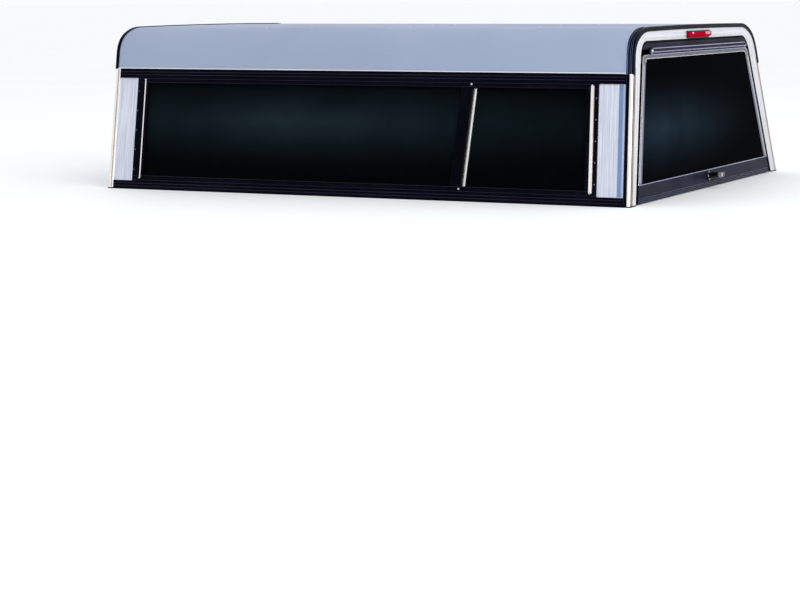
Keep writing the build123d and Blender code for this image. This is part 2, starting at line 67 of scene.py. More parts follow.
def addLamp(name, lamp):
    bpy.ops.object.light_add(type="AREA")
    light = bpy.context.object
    light.name = name
    light.location = lamp["place"]
    aim = Vector(lamp["aim"]) - Vector(lamp["place"])
    light.rotation_euler = aim.to_track_quat("-Z", "Y").to_euler()
    light.data.shape = "RECTANGLE"
    light.data.size, light.data.size_y = lamp["size"]
    light.data.energy = lamp["power"]


for lampName, lampValues in lamps.items():
    addLamp(lampName, lampValues)

world = bpy.data.worlds.new("paleSky")
bpy.context.scene.world = world
world.use_nodes = True
sky = world.node_tree.nodes["Background"]
sky.inputs["Color"].default_value = (*studio["sky"], 1)
sky.inputs["Strength"].default_value = studio["skyStrength"]
bpy.context.scene.view_settings.view_transform = "Standard"

bpy.ops.mesh.primitive_plane_add(size=studio["floorSize"])
floor = bpy.context.object
floor.name = "floor"
print("camera and lights placed")


# finishes: colours are linear, rough runs from polished to dull, coat is its share and roughness,
# grain is pattern repeats per metre along X, Y and Z, and rake leans the grain forward by degrees
finishes = {
    "satinBluePaint": {"base": (0.312, 0.360, 0.474), "dark": (0.284, 0.330, 0.440),
                       "metallic": 0.04, "rough": (0.42, 0.54), "coat": (0.0, 0.3), "cloud": 1.6,
                       "grain": (900, 900, 900), "grainShare": 0.10, "bump": 0.03, "depth": 0.0004,
                       "gloss": 0.22, "tint": (0.45, 0.72, 1.0)},
    "millAluminium": {"base": (0.76, 0.78, 0.86), "dark": (0.46, 0.48, 0.56), "metallic": 0.80,
                      "rough": (0.30, 0.52), "coat": (0.0, 0.1), "cloud": 9.0, "grain": (6, 300, 5),
                      "rake": 5.54, "grainShare": 0.80, "bump": 0.20, "depth": 0.0006},
    # painted reflection: the blue that the infills' folded edges reflect
    "blueReflection": {"base": (0.200, 0.300, 0.480), "dark": (0.130, 0.200, 0.350), "metallic": 0.6,
                 "rough": (0.22, 0.36), "coat": (0.0, 0.1), "cloud": 7.0, "grain": (200, 200, 6),
                 "grainShare": 0.35, "bump": 0.05, "depth": 0.0004},
    "blackTrim": {"base": (0.0030, 0.0026, 0.0060), "dark": (0.0012, 0.0010, 0.0026),
                  "metallic": 0.0, "rough": (0.28, 0.46), "coat": (0.0, 0.2), "cloud": 3.0,
                  "grain": (700, 700, 700), "grainShare": 0.25, "bump": 0.12, "depth": 0.0003,
                  "ior": 1.09, "gloss": 0.40, "dust": 0.006, "tint": (0.55, 0.70, 1.0)},
    "trimNavy": {"base": (0.0030, 0.0050, 0.0120), "dark": (0.0014, 0.0020, 0.0050),
                 "metallic": 0.0, "rough": (0.22, 0.36), "coat": (0.0, 0.2), "cloud": 5.0,
                 "grain": (600, 600, 600), "grainShare": 0.25, "bump": 0.10, "depth": 0.0003,
                 "ior": 1.10, "gloss": 0.25, "dust": 0.006, "tint": (0.30, 0.50, 1.0)},
    # painted highlight lines on the roof trim and in the door's bottom rail
    "trimHighlight": {"base": (0.105, 0.140, 0.240), "dark": (0.050, 0.070, 0.130), "metallic": 0.3,
                 "rough": (0.20, 0.34), "coat": (0.0, 0.2), "cloud": 6.0, "grain": (500, 500, 500),
                 "grainShare": 0.30, "bump": 0.06, "depth": 0.0003, "gloss": 0.3, "dust": 0.012},
    # painted highlight lines on the roof trim's edge and the rear infill's lip
    "paleBlueHighlight": {"base": (0.400, 0.480, 0.700), "dark": (0.290, 0.360, 0.560), "metallic": 0.4,
                 "rough": (0.20, 0.34), "coat": (0.0, 0.2), "cloud": 6.0, "grain": (500, 500, 12),
                 "grainShare": 0.30, "bump": 0.05, "depth": 0.0003, "dust": 0.012},
    # painted highlight lines on the black rails, window frames and posts
    "railHighlight": {"base": (0.030, 0.026, 0.060), "dark": (0.012, 0.011, 0.028), "metallic": 0.4,
                  "rough": (0.25, 0.40), "coat": (0.0, 0.2), "cloud": 5.0, "grain": (600, 15, 600),
                  "grainShare": 0.35, "bump": 0.05, "depth": 0.0003, "ior": 1.2, "dust": 0.012},
    # both glasses are near black; their base colour shows only inside a painted reflection
    "sideGlass": {"base": (0.0170, 0.0330, 0.0410), "dark": (0.0010, 0.0012, 0.0018),
                  "metallic": 0.0, "rough": (0.04, 0.09), "coat": (0.0, 0.03), "cloud": 2.2,
                  "grain": (60, 60, 60), "grainShare": 0.05, "bump": 0.004, "depth": 0.0003,
                  "ior": 1.05, "gloss": 0.30, "dust": 0.0022,
                  "paintedReflection": {"centre": (0.0, 0.30, 0.26), "reach": (0.0, 1.9, 0.19)}},
    "doorGlass": {"base": (0.0250, 0.0500, 0.0720), "dark": (0.0008, 0.0009, 0.0015),
                  "metallic": 0.0, "rough": (0.04, 0.09), "coat": (0.0, 0.03), "cloud": 2.2,
                  "grain": (60, 60, 60), "grainShare": 0.05, "bump": 0.004, "depth": 0.0003,
                  "ior": 1.025, "gloss": 0.10, "dust": 0.0014,
                  "paintedReflection": {"centre": (-0.42, 0.0, 0.24), "reach": (1.15, 0.0, 0.20)}},
    "whiteFrame": {"base": (0.66, 0.67, 0.70), "dark": (0.58, 0.59, 0.63), "metallic": 0.10,
                   "rough": (0.30, 0.42), "coat": (0.15, 0.12), "cloud": 4.0,
                   "grain": (140, 140, 20), "grainShare": 0.18, "bump": 0.05, "depth": 0.0003},
    "sealRubber": {"base": (0.0035, 0.0034, 0.0045), "dark": (0.0014, 0.0014, 0.002),
                   "metallic": 0.0, "rough": (0.62, 0.82), "coat": (0.0, 0.1), "cloud": 8.0,
                   "grain": (600, 600, 600), "grainShare": 0.30, "bump": 0.20, "depth": 0.0004,
                   "ior": 1.15, "dust": 0.010},
    "slateAnodised": {"base": (0.0150, 0.0180, 0.0330), "dark": (0.0075, 0.0090, 0.0180),
                      "metallic": 0.0, "rough": (0.28, 0.42), "coat": (0.0, 0.2), "cloud": 5.0,
                      "grain": (20, 600, 600), "grainShare": 0.25, "bump": 0.06, "depth": 0.0003,
                      "ior": 1.12, "gloss": 0.15, "dust": 0.012, "tint": (0.55, 0.70, 1.0)},
    "doorGrey": {"base": (0.085, 0.092, 0.120), "dark": (0.050, 0.054, 0.076), "metallic": 0.3,
                 "rough": (0.22, 0.36), "coat": (0.0, 0.2), "cloud": 5.0, "grain": (20, 600, 600),
                 "grainShare": 0.25, "bump": 0.05, "depth": 0.0003, "gloss": 0.3, "dust": 0.012},
    "stileSilver": {"base": (0.42, 0.40, 0.47), "dark": (0.32, 0.30, 0.37), "metallic": 0.5,
                    "rough": (0.24, 0.36), "coat": (0.0, 0.2), "cloud": 6.0, "grain": (40, 12, 6),
                    "grainShare": 0.25, "bump": 0.05, "depth": 0.0003},
    "lavenderAnodised": {"base": (0.29, 0.30, 0.46), "dark": (0.20, 0.21, 0.34), "metallic": 0.6,
                         "rough": (0.20, 0.32), "coat": (0.0, 0.2), "cloud": 6.0,
                         "grain": (4, 260, 260), "grainShare": 0.20, "bump": 0.05, "depth": 0.0003},
    "lampBlack": {"base": (0.010, 0.010, 0.012), "dark": (0.004, 0.004, 0.005), "metallic": 0.0,
                  "rough": (0.35, 0.50), "coat": (0.0, 0.1), "cloud": 10.0,
                  "grain": (900, 900, 900), "grainShare": 0.30, "bump": 0.15, "depth": 0.0002,
                  "ior": 1.2, "dust": 0.012},
    "redLens": {"base": (0.50, 0.0015, 0.0260), "dark": (0.27, 0.0006, 0.0110), "metallic": 0.0,
                "rough": (0.10, 0.18), "coat": (0.0, 0.04), "cloud": 14.0, "grain": (260, 260, 30),
                "grainShare": 0.45, "bump": 0.25, "depth": 0.0008, "ior": 1.10, "gloss": 0.02,
                "dust": 0.004},
    "brightBead": {"base": (0.88, 0.87, 0.84), "dark": (0.74, 0.71, 0.66), "metallic": 0.75,
                   "rough": (0.14, 0.26), "coat": (0.0, 0.1), "cloud": 6.0, "grain": (10, 150, 6),
                   "rake": 5.54, "grainShare": 0.20, "bump": 0.04, "depth": 0.0003},
    # painted reflection: the tan that the bright beads show low down
    "tanReflection": {"base": (0.54, 0.43, 0.34), "dark": (0.32, 0.24, 0.19), "metallic": 0.75,
                "rough": (0.16, 0.30), "coat": (0.0, 0.1), "cloud": 6.0, "grain": (10, 150, 6),
                "rake": 5.54, "grainShare": 0.25, "bump": 0.04, "depth": 0.0003},
    "lensPale": {"base": (0.62, 0.22, 0.25), "dark": (0.40, 0.08, 0.11), "metallic": 0.0,
                 "rough": (0.12, 0.22), "coat": (0.3, 0.05), "cloud": 30.0,
                 "grain": (420, 420, 420), "grainShare": 0.60, "bump": 0.30, "depth": 0.0006,
                 "dust": 0.01},
    "handleBlack": {"base": (0.006, 0.006, 0.008), "dark": (0.002, 0.002, 0.003), "metallic": 0.0,
                    "rough": (0.12, 0.26), "coat": (0.12, 0.1), "cloud": 18.0,
                    "grain": (900, 900, 900), "grainShare": 0.25, "bump": 0.14, "depth": 0.0002,
                    "ior": 1.3, "dust": 0.010},
    "keySteel": {"base": (0.80, 0.80, 0.82), "dark": (0.50, 0.50, 0.52), "metallic": 1.0,
                 "rough": (0.12, 0.24), "coat": (0.0, 0.1), "cloud": 40.0, "grain": (900, 900, 900),
                 "grainShare": 0.20, "bump": 0.05, "depth": 0.0002},
    "paleFloor": {"base": (0.985, 0.98, 0.965), "dark": (0.96, 0.955, 0.94), "metallic": 0.0,
                  "rough": (0.6, 0.7), "coat": (0.0, 0.1), "cloud": 0.8, "grain": (40, 40, 40),
                  "grainShare": 0.20, "bump": 0.02, "depth": 0.001},
}


# wear that every finish has: dust in smudges, thicker towards the foot
wear = {"dustColour": (0.34, 0.32, 0.29), "dustShare": 0.03, "dustFrom": 0.52, "dustTo": 0.78,
        "footHeight": 0.10, "footShift": 0.06, "smudgeTimes": 5, "smudgeAdd": 12, "dentShare": 0.5}

# the middle of a noise's range, which holds nearly all of its values
noiseRange = {"low": 0.32, "high": 0.68}


def addNode(tree, kind, place, **values):
    node = tree.nodes.new(kind)
    node.location = place
    for key, value in values.items():
        if key in node.inputs:
            node.inputs[key].default_value = value
        else:
            setattr(node, key, value)
    return node


def setInputs(node, values):
    for key, value in values.items():
        node.inputs[key].default_value = value


def makeFinish(name, look):
    material = bpy.data.materials.new(name)
    material.use_nodes = True
    tree = material.node_tree
    shader = tree.nodes["Principled BSDF"]
    link = tree.links.new
    setInputs(shader, {"Metallic": look["metallic"], "Coat Weight": look["coat"][0],
                       "Coat Roughness": look["coat"][1], "IOR": look.get("ior", 1.5),
                       "Specular IOR Level": look.get("gloss", 0.5),
                       "Specular Tint": (*look.get("tint", (1.0, 1.0, 1.0)), 1)})

    # fine grain, leant forward where the finish says so, over soft clouds
    place = addNode(tree, "ShaderNodeTexCoord", (-1500, 0))
    lean = (radians(look.get("rake", 0.0)), 0, 0)
    raked = addNode(tree, "ShaderNodeMapping", (-1350, -200), Rotation=lean)
    grainPlace = addNode(tree, "ShaderNodeMapping", (-1180, -200), Scale=look["grain"])
    grain = addNode(tree, "ShaderNodeTexNoise", (-1000, -200), Scale=1.0, Detail=3.0, Roughness=0.6)
    cloud = addNode(tree, "ShaderNodeTexNoise", (-1000, 200), Scale=look["cloud"], Detail=4.0,
                    Roughness=0.55)
    link(place.outputs["Object"], raked.inputs["Vector"])
    link(raked.outputs["Vector"], grainPlace.inputs["Vector"])
    link(grainPlace.outputs["Vector"], grain.inputs["Vector"])
    link(place.outputs["Object"], cloud.inputs["Vector"])

    mixed = addNode(tree, "ShaderNodeMix", (-760, 100), data_type="FLOAT")
    setInputs(mixed, {0: look["grainShare"]})
    link(cloud.outputs["Fac"], mixed.inputs[2])
    link(grain.outputs["Fac"], mixed.inputs[3])
    spread = addNode(tree, "ShaderNodeMapRange", (-560, 100))
    setInputs(spread, {"From Min": noiseRange["low"], "From Max": noiseRange["high"]})
    link(mixed.outputs[0], spread.inputs["Value"])

    tone = addNode(tree, "ShaderNodeMix", (-320, 200), data_type="RGBA")
    setInputs(tone, {6: (*look["dark"], 1), 7: (*look["base"], 1)})
    if "paintedReflection" in look:
        # a painted reflection: a soft pool of daylight painted as an ellipse on the glass
        paintedReflection = look["paintedReflection"]
        scale = [1 / reach if reach else 0.0 for reach in paintedReflection["reach"]]
        shift = [-centre * factor for centre, factor in zip(paintedReflection["centre"], scale)]
        pool = addNode(tree, "ShaderNodeMapping", (-1180, 500), Location=shift, Scale=scale)
        ball = addNode(tree, "ShaderNodeTexGradient", (-1000, 500), gradient_type="QUADRATIC_SPHERE")
        ripple = addNode(tree, "ShaderNodeMath", (-760, 420), operation="MULTIPLY")
        link(place.outputs["Object"], pool.inputs["Vector"])
        link(pool.outputs["Vector"], ball.inputs["Vector"])
        link(ball.outputs["Fac"], ripple.inputs[0])
        link(cloud.outputs["Fac"], ripple.inputs[1])
        link(ripple.outputs["Value"], tone.inputs[0])
    else:
        link(spread.outputs["Result"], tone.inputs[0])

    # road dust: thin smudges everywhere, and more of them towards the foot
    smudges = look["cloud"] * wear["smudgeTimes"] + wear["smudgeAdd"]
    dust = addNode(tree, "ShaderNodeTexNoise", (-1000, -520), Scale=smudges, Detail=6.0,
                   Roughness=0.7)
    link(place.outputs["Object"], dust.inputs["Vector"])
    height = addNode(tree, "ShaderNodeSeparateXYZ", (-1000, -760))
    link(place.outputs["Object"], height.inputs["Vector"])
    foot = addNode(tree, "ShaderNodeMapRange", (-760, -760))
    setInputs(foot, {"From Max": wear["footHeight"], "To Min": wear["footShift"], "To Max": 0.0})
    link(height.outputs["Z"], foot.inputs["Value"])
    laid = addNode(tree, "ShaderNodeMath", (-560, -600), operation="ADD")
    link(dust.outputs["Fac"], laid.inputs[0])
    link(foot.outputs["Result"], laid.inputs[1])
    patch = addNode(tree, "ShaderNodeMapRange", (-380, -600))
    setInputs(patch, {"From Min": wear["dustFrom"], "From Max": wear["dustTo"],
                      "To Max": look.get("dust", wear["dustShare"])})
    link(laid.outputs["Value"], patch.inputs["Value"])
    dusty = addNode(tree, "ShaderNodeMix", (-120, 200), data_type="RGBA")
    setInputs(dusty, {7: (*wear["dustColour"], 1)})
    link(patch.outputs["Result"], dusty.inputs[0])
    link(tone.outputs[2], dusty.inputs[6])
    link(dusty.outputs[2], shader.inputs["Base Color"])

    # smooth where the tone is light, rough where it is dark or dusty
    polish = addNode(tree, "ShaderNodeMapRange", (-320, -60))
    setInputs(polish, {"To Min": look["rough"][1], "To Max": look["rough"][0]})
    link(spread.outputs["Result"], polish.inputs["Value"])
    dulled = addNode(tree, "ShaderNodeMath", (-120, -60), operation="ADD", use_clamp=True)
    link(polish.outputs["Result"], dulled.inputs[0])
    link(patch.outputs["Result"], dulled.inputs[1])
    link(dulled.outputs["Value"], shader.inputs["Roughness"])

    bump = addNode(tree, "ShaderNodeBump", (-320, -320), Strength=look["bump"],
                   Distance=look["depth"])
    link(grain.outputs["Fac"], bump.inputs["Height"])
    dent = addNode(tree, "ShaderNodeBump", (-120, -320), Strength=look["bump"],
                   Distance=look["depth"] * wear["dentShare"])
    link(dust.outputs["Fac"], dent.inputs["Height"])
    link(bump.outputs["Normal"], dent.inputs["Normal"])
    link(dent.outputs["Normal"], shader.inputs["Normal"])
    return material


paints = {name: makeFinish(name, look) for name, look in finishes.items()}

# which node wears which finish
wearing = {
    "satinBluePaint": ["roof_skin", "front_wall"],
    "millAluminium": ["roof_bows", "left_front_infill", "right_front_infill", "left_rear_infill",
                      "right_rear_infill"],
    "blackTrim": ["front_base_rail", "front_window_frame", "left_base_rail", "right_base_rail",
                  "left_upper_rail", "right_upper_rail", "left_window_frame", "right_window_frame",
                  "left_rear_post", "right_rear_post"],
    "trimNavy": ["front_roof_trim", "rear_roof_trim"],
    "sideGlass": ["front_window_glass", "left_fixed_glass", "right_fixed_glass", "left_sliding_glass",
                  "right_sliding_glass"],
    "doorGlass": ["door_glass"],
    "whiteFrame": ["rear_frame"],
    "sealRubber": ["rear_seal", "door_wiper", "door_edge_seal"],
    "slateAnodised": ["header_hinge_leaf", "door_bottom_rail"],
    "doorGrey": ["door_frame"],
    "lavenderAnodised": ["door_hinge_leaf"],
    "lampBlack": ["brake_lamp_housing"],
    "redLens": ["brake_lamp_lens"],
    "brightBead": ["left_front_post", "right_front_post", "left_rear_bead", "right_rear_bead",
                   "left_sash_strip", "right_sash_strip"],
    "handleBlack": ["handle_base", "handle_lever"],
    "keySteel": ["lock_cylinder"],
}
for paintName, nodeNames in wearing.items():
    for nodeName in nodeNames:
        mesh = nodes[nodeName].data
        mesh.materials.clear()
        mesh.materials.append(paints[paintName])
floor.data.materials.append(paints["paleFloor"])
print("finishes applied")


# the body's planes in metres, as in the model
shape = {"halfWidth": 0.865, "lean": 0.318, "rake": 0.097, "rearY": -1.029, "frontY": 1.029}


def onPlane(foot, up, outward, proud, tilt):
    # local Z points out of the plane, local Y up its slope, and the tilt is in degrees
    turn = Matrix((up.cross(outward), up, outward)).transposed().to_4x4()
    seat = Matrix.Translation(foot + outward * proud)
    return seat @ turn @ Matrix.Rotation(radians(tilt), 4, "Z")


def onLeftWall(y, z, proud, tilt=0.0):
    slope = atan(shape["lean"])
    foot = Vector((-shape["halfWidth"] + shape["lean"] * z, y, z))
    up, outward = Vector((sin(slope), 0, cos(slope))), Vector((-cos(slope), 0, sin(slope)))
    return onPlane(foot, up, outward, proud, tilt)


def rearOutward():
    # the way that the raked rear plane faces
    rake = atan(shape["rake"])
    return Vector((0, -cos(rake), sin(rake)))


def onEndPlane(foot, outward, proud, tilt):
    # both ends rake forward by the same angle
    rake = atan(shape["rake"])
    return onPlane(foot, Vector((0, sin(rake), cos(rake))), outward, proud, tilt)


def onRearPlane(x, z, proud, tilt=0.0):
    foot = Vector((x, shape["rearY"] + shape["rake"] * z, z))
    return onEndPlane(foot, rearOutward(), proud, tilt)


def onFrontPlane(x, z, proud):
    foot = Vector((x, shape["frontY"] + shape["rake"] * z, z))
    return onEndPlane(foot, -rearOutward(), proud, 0.0)


def pick(*parts):
    bpy.ops.object.select_all(action="DESELECT")
    for part in parts:
        part.select_set(True)
    bpy.context.view_layer.objects.active = parts[0]


def put(piece, place):
    # moves the one piece that is selected, and leaves the move in its mesh
    piece.matrix_world = place
    bpy.ops.object.transform_apply()


def settle(piece, name, place, finish, body="canopy"):
    # gives a piece its last place, name, finish and body; its object stays at the origin
    pick(piece)
    put(piece, place @ piece.matrix_world)
    piece.name = name
    piece.data.name = name
    piece.data.materials.clear()
    piece.data.materials.append(paints[finish])
    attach(piece, body)
    return piece


def duplicated(piece):
    pick(piece)
    bpy.ops.object.duplicate()
    return bpy.context.object


def copied(piece, place):
    twin = duplicated(piece)
    put(twin, place)
    return twin


def mirrored(piece, name, finish):
    # the right side's piece, with a mesh of its own
    twin = duplicated(piece)
    twin.scale.x = -1
    bpy.ops.object.transform_apply()
    bpy.ops.object.mode_set(mode="EDIT")
    bpy.ops.mesh.select_all(action="SELECT")
    bpy.ops.mesh.normals_make_consistent(inside=False)
    bpy.ops.object.mode_set(mode="OBJECT")
    settle(twin, name, Matrix.Identity(4), finish)


def joined(parts, name, finish, body="canopy"):
    pick(*parts)
    bpy.ops.object.join()
    return settle(parts[0], name, Matrix.Identity(4), finish, body)


def addBar(size, edge, rounds=3):
    # a bar that lies on local Z = 0, with softened edges
    bpy.ops.mesh.primitive_cube_add(size=1)
    bar = bpy.context.object
    bar.scale = size
    bar.location = (0, 0, size[2] / 2)
    bpy.ops.object.transform_apply()
    bpy.ops.object.mode_set(mode="EDIT")
    bpy.ops.mesh.select_all(action="SELECT")
    bpy.ops.mesh.bevel(offset=edge, segments=rounds, affect="EDGES")
    bpy.ops.object.mode_set(mode="OBJECT")
    bpy.ops.object.shade_smooth_by_angle(angle=radians(40))
    return bar


def roundEnd(piece, way, offset, rounds, facing=0.9):
    # bevels the rim of the flat end that faces the given way
    bpy.ops.object.mode_set(mode="EDIT")
    net = bmesh.from_edit_mesh(piece.data)
    for face in net.faces:
        face.select_set(face.normal.dot(way) > facing)
    bmesh.update_edit_mesh(piece.data)
    bpy.ops.mesh.bevel(offset=offset, segments=rounds, affect="EDGES")
    bpy.ops.object.mode_set(mode="OBJECT")


def addDome(radius, height, rounding, rounds):
    # a disc that stands on local Z = 0, its upper rim rounded by a share of its height
    bpy.ops.mesh.primitive_cylinder_add(vertices=24, radius=radius, depth=height,
                                        location=(0, 0, height / 2))
    dome = bpy.context.object
    bpy.ops.object.transform_apply()
    roundEnd(dome, Vector((0, 0, 1)), height * rounding, rounds)
    return dome


# pan head screw with a cross recess, modelled once
screwHead = {"radius": 0.0036, "height": 0.0019, "rounding": 0.6, "slotWidth": 0.0009,
             "slotShare": 1.2, "slotDeep": 0.0008}


def modelScrew(values):
    head = addDome(values["radius"], values["height"], values["rounding"], 3)
    for turn in (0, 90):
        bpy.ops.mesh.primitive_cube_add(size=1, location=(0, 0, values["height"]),
                                        rotation=(0, 0, radians(turn)))
        blade = bpy.context.object
        blade.scale = (values["radius"] * values["slotShare"], values["slotWidth"],
                       values["slotDeep"] * 2)
        cut = head.modifiers.new("recess", "BOOLEAN")
        cut.operation = "DIFFERENCE"
        cut.solver = "EXACT"
        cut.object = blade
        bpy.context.view_layer.objects.active = head
        bpy.ops.object.modifier_apply(modifier="recess")
        bpy.data.objects.remove(blade, do_unlink=True)
    pick(head)
    bpy.ops.object.shade_smooth_by_angle(angle=radians(35))
    return head


def modelRivet(radius, height, rounding=0.8):
    # a low dome with a short upright rim
    rivet = addDome(radius, height, rounding, 4)
    bpy.ops.object.shade_smooth_by_angle(angle=radians(50))
    return rivet


screw = modelScrew(screwHead)

# side walls: how high the upright strips reach, and how soft their edges are
wallSpans = {"window": (0.040, 0.398), "infill": (0.0320, 0.4035), "post": (0.0060, 0.4360)}
barSoftness = {"strip": 0.45, "line": 0.40}

# upright strips beside the windows, by their distance from an end
wallStrips = {
    "front_stile_strip": {"end": "front", "away": 0.136, "width": 0.0045, "span": "window",
                          "proud": 0.005, "thick": 0.0012, "finish": "brightBead"},
    "rear_stile_strip": {"end": "rear", "away": 0.143, "width": 0.0105, "span": "window",
                         "proud": 0.005, "thick": 0.0012, "finish": "brightBead"},
    # painted shade beside the rear stile strip, in the tan of the painted reflections
    "rear_stile_shade": {"end": "rear", "away": 0.1365, "width": 0.0022, "span": "window",
                         "proud": 0.005, "thick": 0.0010, "finish": "tanReflection"},
    # a painted highlight on the rear infill's lip
    "rear_infill_lip_highlight": {"end": "rear", "away": 0.0302, "width": 0.0068, "span": "infill",
                        "proud": 0.0, "thick": 0.0014, "finish": "paleBlueHighlight"},
    # a painted blue reflection on the rear infill's fold
    "rear_infill_fold_reflection": {"end": "rear", "away": 0.0410, "width": 0.0140, "span": "infill",
                         "proud": 0.0, "thick": 0.0010, "finish": "blueReflection"},
    "rear_infill_edge": {"end": "rear", "away": 0.1180, "width": 0.0036, "span": "infill",
                         "proud": 0.0, "thick": 0.0010, "finish": "whiteFrame"},
    # a painted blue reflection on the front infill's edge
    "front_infill_edge_reflection": {"end": "front", "away": 0.1012, "width": 0.0028, "span": "infill",
                          "proud": 0.0, "thick": 0.0010, "finish": "blueReflection"},
    # painted shade in the groove between the front post's beads, in the tan of the painted reflections
    "front_post_shade": {"end": "front", "away": 0.0110, "width": 0.0032, "span": "post",
                         "proud": 0.0014, "thick": 0.0012, "finish": "tanReflection"},
    # a painted highlight on the crest of the front post's rear bead
    "front_post_highlight": {"end": "front", "away": 0.0165, "width": 0.0030, "span": "post",
                        "proud": 0.0027, "thick": 0.0012, "finish": "brightBead"},
    # a painted highlight line on the rear post
    "rear_post_highlight": {"end": "rear", "away": 0.0243, "width": 0.0016, "span": "post", "proud": 0.0,
                       "thick": 0.0008, "finish": "railHighlight"},
}

# painted highlight lines along the rails and window frames, most of them in grooves, and one on the
# skin's lower edge:
# what they keep from the rear and front ends, and each line's height, width, place out of the wall and
# thickness
wallLines = {
    "rail_highlights": {"finish": "railHighlight", "ends": (0.0275, 0.0235), "lines": (
        (0.0105, 0.0022, 0.0024, 0.0010), (0.0210, 0.0022, 0.0024, 0.0010),
        (0.4160, 0.0022, 0.0034, 0.0010), (0.4270, 0.0022, 0.0034, 0.0010))},
    "frame_highlights": {"finish": "railHighlight", "ends": (0.1225, 0.1045), "lines": (
        (0.0325, 0.0012, 0.0050, 0.0008), (0.0475, 0.0010, 0.0050, 0.0008),
        (0.3885, 0.0010, 0.0050, 0.0008), (0.4020, 0.0012, 0.0050, 0.0008))},
    # a painted highlight along the skin's lower edge
    "skin_edge_highlight": {"finish": "whiteFrame", "ends": (0.027, 0.010), "lines": (
        (0.4402, 0.0052, 0.0002, 0.0040),)},
}

# fixings of the window frames, by distance from an end and height; each screw is turned on
wallFixings = {"frameProud": 0.005, "stripThick": 0.0012, "screwLow": 0.0405, "screwHigh": 0.3975,
               "screwTurn": 31, "frontAway": 0.136, "rearAway": 0.143, "mullionY": -0.3985,
               "rivetAway": 0.1275, "rivetFront": 0.1085, "rivetLow": 0.070, "rivetPitch": 0.0715,
               "rivetCount": 5, "rivetRadius": 0.0019, "rivetHeight": 0.0010}


def wallY(end, away, z):
    # the ends lean forward with height
    foot = shape["rearY"] + away if end == "rear" else shape["frontY"] - away
    return foot + shape["rake"] * z


def dressWalls(strips, lines):
    slope = atan(shape["lean"])
    tilt = degrees(atan(shape["rake"] * cos(slope)))
    for name, strip in strips.items():
        low, high = wallSpans[strip["span"]]
        middle = (low + high) / 2
        edge = min(strip["thick"], strip["width"]) * barSoftness["strip"]
        bar = addBar((strip["width"], (high - low) / cos(slope), strip["thick"]), edge)
        y = wallY(strip["end"], strip["away"], middle)
        place = onLeftWall(y, middle, strip["proud"], tilt)
        settle(bar, "left_" + name, place, strip["finish"])
        mirrored(bar, "right_" + name, strip["finish"])
    for name, group in lines.items():
        bars = []
        for z, wide, proud, thick in group["lines"]:
            rear, front = wallY("rear", group["ends"][0], z), wallY("front", group["ends"][1], z)
            bar = addBar((front - rear, wide, thick), min(wide, thick) * barSoftness["line"])
            put(bar, onLeftWall((rear + front) / 2, z, proud))
            bars.append(bar)
        ribs = joined(bars, "left_" + name, group["finish"])
        mirrored(ribs, "right_" + name, group["finish"])


def fixWalls(values):
    heads, domes = [], []
    proud, strip = values["frameProud"], values["stripThick"]
    for z in (values["screwLow"], values["screwHigh"]):
        seats = ((wallY("front", values["frontAway"], z), proud + strip), (values["mullionY"], proud),
                 (wallY("rear", values["rearAway"], z), proud + strip))
        for y, seat in seats:
            turn = values["screwTurn"] * len(heads)
            heads.append(copied(screw, onLeftWall(y, z, seat, turn)))
    rivet = modelRivet(values["rivetRadius"], values["rivetHeight"])
    for number in range(values["rivetCount"]):
        z = values["rivetLow"] + number * values["rivetPitch"]
        for y in (wallY("rear", values["rivetAway"], z), wallY("front", values["rivetFront"], z)):
            domes.append(copied(rivet, onLeftWall(y, z, proud)))
    bpy.data.objects.remove(rivet, do_unlink=True)
    for parts, name, finish in ((heads, "frame_screws", "keySteel"),
                                (domes, "frame_rivets", "lavenderAnodised")):
        group = joined(parts, "left_" + name, finish)
        mirrored(group, "right_" + name, finish)


dressWalls(wallStrips, wallLines)
fixWalls(wallFixings)
print("side walls dressed")


# pieces made from copies of CAD nodes: metres between points that merge, and the least angle
# in degrees between two faces whose edge can carry a bead
nodeCopies = {"merge": 0.00005, "fold": 12}


def nodeCopy(nodeName, kind):
    # a free copy in edit mode, merged, with nothing selected
    twin = duplicated(nodes[nodeName])
    twin.parent = None
    for key in list(twin.keys()):
        del twin[key]
    twin.data.materials.clear()
    bpy.ops.object.mode_set(mode="EDIT")
    bpy.ops.mesh.select_mode(type=kind)
    bpy.ops.mesh.select_all(action="SELECT")
    bpy.ops.mesh.remove_doubles(threshold=nodeCopies["merge"])
    bpy.ops.mesh.select_all(action="DESELECT")
    return twin


def edgeBead(nodeName, keep, radius, name, finish, body="canopy", place=Matrix.Identity(4)):
    # a fine round bead along the edges of a node that keep() accepts
    wire = nodeCopy(nodeName, "EDGE")
    net = bmesh.from_edit_mesh(wire.data)
    fold = radians(nodeCopies["fold"])
    for edge in net.edges:
        if len(edge.link_faces) == 2 and edge.calc_face_angle(0) > fold and keep(edge):
            edge.select_set(True)
    bmesh.update_edit_mesh(wire.data)
    bpy.ops.mesh.duplicate()
    bpy.ops.mesh.separate(type="SELECTED")
    bpy.ops.object.mode_set(mode="OBJECT")
    line = [piece for piece in bpy.context.selected_objects if piece != wire][0]
    bpy.data.objects.remove(wire, do_unlink=True)
    pick(line)
    bpy.ops.object.convert(target="CURVE")
    line.data.bevel_depth = radius
    line.data.bevel_resolution = 2
    line.data.use_fill_caps = True
    bpy.ops.object.convert(target="MESH")
    bpy.ops.object.shade_smooth_by_angle(angle=radians(60))
    settle(line, name, place, finish, body)


def back(point):
    # distance forward of the raked rear plane
    return point.y - shape["rake"] * point.z - shape["rearY"]


def liesBack(edge, distance, near):
    return all(abs(back(v.co) - distance) < near for v in edge.verts)


def edgeMiddle(edge):
    return (edge.verts[0].co + edge.verts[1].co) / 2


